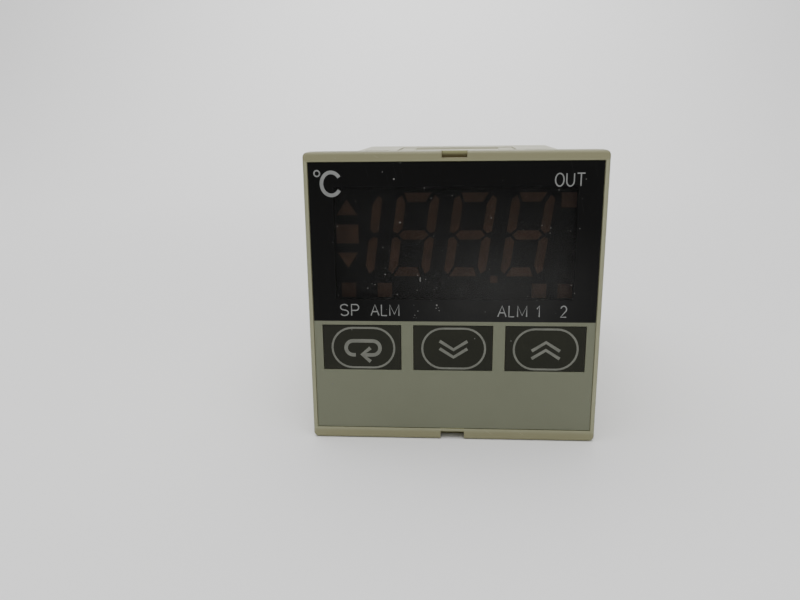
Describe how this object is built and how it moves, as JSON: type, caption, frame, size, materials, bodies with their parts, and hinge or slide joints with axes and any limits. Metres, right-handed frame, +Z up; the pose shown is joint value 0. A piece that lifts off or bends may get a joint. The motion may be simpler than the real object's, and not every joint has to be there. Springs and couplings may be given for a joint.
{
  "type": "pid temperature controller",
  "caption": "Panel-mounted process temperature controller: square bezel with film keys and red LED display, draw-out boards in a vented case, screw terminals at the rear.",
  "frame": {"origin": "centre of the panel seat, which is the rear face of the panel packing", "axes": "+X to the right seen from the front, +Y back into the cabinet along the longest extent, +Z up; the front panel faces -Y"},
  "size_m": [0.048, 0.078, 0.048],
  "materials": {
    "bezel_plastic": "fine moulded grain, semi-matt",
    "black_plastic": "moulded",
    "button_plastic": "moulded",
    "capacitor_sleeve": "shrunk sleeve",
    "case_plastic": "fine moulded grain",
    "circuit_board": "solder mask, satin",
    "copper_wire": "enamelled wire",
    "display_plastic": "matt",
    "ferrite": "ground ferrite",
    "key_plastic": "moulded",
    "packing_rubber": "matt",
    "plated_steel": "zinc plate",
    "printed_film": "velvet polycarbonate film with a glossy smoked window",
    "relay_plastic": "moulded",
    "resistor_paint": "paint",
    "seal_rubber": "matt",
    "segment_resin": "cloudy cast resin, unlit",
    "smoked_plate": "clear smoked",
    "switch_red": "moulded",
    "terminal_brass": "tin-plated brass",
    "terminal_plastic": "moulded, glass filled",
    "white_plastic": "moulded",
    "winding_tape": "polyester tape",
    "yellow_plastic": "cast box"
  },
  "bodies": {
    "case": {"rear_case": "case_plastic", "panel_packing": "packing_rubber", "terminal_block": "terminal_plastic", "right_terminals": "terminal_brass", "left_terminals": "terminal_brass", "right_washers": "plated_steel", "left_washers": "plated_steel", "right_screws": "plated_steel", "left_screws": "plated_steel"},
    "front_unit": {"alarm_mode_switch": "black_plastic", "alarm_relay_1": "relay_plastic", "alarm_relay_2": "relay_plastic", "control_board": "circuit_board", "control_header": "black_plastic", "dip_switch": "switch_red", "display_board": "circuit_board", "display_body": "display_plastic", "display_segments": "segment_resin", "display_window": "smoked_plate", "down_switch": "black_plastic", "film_capacitor": "yellow_plastic", "filter_choke": "copper_wire", "front_panel": "bezel_plastic", "front_sheet": "printed_film", "fuse_resistor": "resistor_paint", "inner_seal": "seal_rubber", "main_capacitor": "capacitor_sleeve", "mode_switch": "black_plastic", "output_relay": "relay_plastic", "power_board": "circuit_board", "power_header": "black_plastic", "processor": "black_plastic", "sensor_range_switch": "black_plastic", "signal_chips": "black_plastic", "small_capacitors": "capacitor_sleeve", "transformer_core": "ferrite", "transformer_winding": "winding_tape", "up_switch": "black_plastic"},
    "mode_key": {"mode_key_film": "printed_film", "mode_key_plunger": "key_plastic", "mode_switch_button": "button_plastic"},
    "down_key": {"down_key_film": "printed_film", "down_key_plunger": "key_plastic", "down_switch_button": "button_plastic"},
    "up_key": {"up_key_film": "printed_film", "up_key_plunger": "key_plastic", "up_switch_button": "button_plastic"},
    "setup_lever_1": {"dip_lever_1": "white_plastic"},
    "setup_lever_2": {"dip_lever_2": "white_plastic"},
    "setup_lever_3": {"dip_lever_3": "white_plastic"},
    "setup_lever_4": {"dip_lever_4": "white_plastic"},
    "setup_lever_5": {"dip_lever_5": "white_plastic"},
    "setup_lever_6": {"dip_lever_6": "white_plastic"},
    "alarm_mode_dial": {"alarm_mode_rotor": "white_plastic"},
    "sensor_range_dial": {"sensor_range_rotor": "white_plastic"}
  },
  "joints": [
    {"name": "front_unit_draw_out", "type": "slide", "parent": "case", "child": "front_unit", "axis": [0, -1, 0], "range_m": [0, 0.06]},
    {"name": "key_down_press", "type": "slide", "parent": "front_unit", "child": "down_key", "axis": [0, 1, 0], "range_m": [0, 0.0003], "stiffness_N_per_m": 3000, "springref_m": -0.0002},
    {"name": "key_mode_press", "type": "slide", "parent": "front_unit", "child": "mode_key", "axis": [0, 1, 0], "range_m": [0, 0.0003], "stiffness_N_per_m": 3000, "springref_m": -0.0002},
    {"name": "key_up_press", "type": "slide", "parent": "front_unit", "child": "up_key", "axis": [0, 1, 0], "range_m": [0, 0.0003], "stiffness_N_per_m": 3000, "springref_m": -0.0002},
    {"name": "rotary_alarm_mode_turn", "type": "hinge", "parent": "front_unit", "child": "alarm_mode_dial", "pos_m": [0.0196, 0.015, 0.0055], "axis": [1, 0, 0], "continuous": true},
    {"name": "rotary_sensor_range_turn", "type": "hinge", "parent": "front_unit", "child": "sensor_range_dial", "pos_m": [0.0196, 0.025, 0.0055], "axis": [1, 0, 0], "continuous": true},
    {"name": "setup_lever_1_slide", "type": "slide", "parent": "front_unit", "child": "setup_lever_1", "axis": [0, 0, 1], "range_m": [0, 0.0014]},
    {"name": "setup_lever_2_slide", "type": "slide", "parent": "front_unit", "child": "setup_lever_2", "axis": [0, 0, 1], "range_m": [0, 0.0014]},
    {"name": "setup_lever_3_slide", "type": "slide", "parent": "front_unit", "child": "setup_lever_3", "axis": [0, 0, 1], "range_m": [0, 0.0014]},
    {"name": "setup_lever_4_slide", "type": "slide", "parent": "front_unit", "child": "setup_lever_4", "axis": [0, 0, 1], "range_m": [0, 0.0014]},
    {"name": "setup_lever_5_slide", "type": "slide", "parent": "front_unit", "child": "setup_lever_5", "axis": [0, 0, 1], "range_m": [0, 0.0014]},
    {"name": "setup_lever_6_slide", "type": "slide", "parent": "front_unit", "child": "setup_lever_6", "axis": [0, 0, 1], "range_m": [0, 0.0014]}
  ]
}
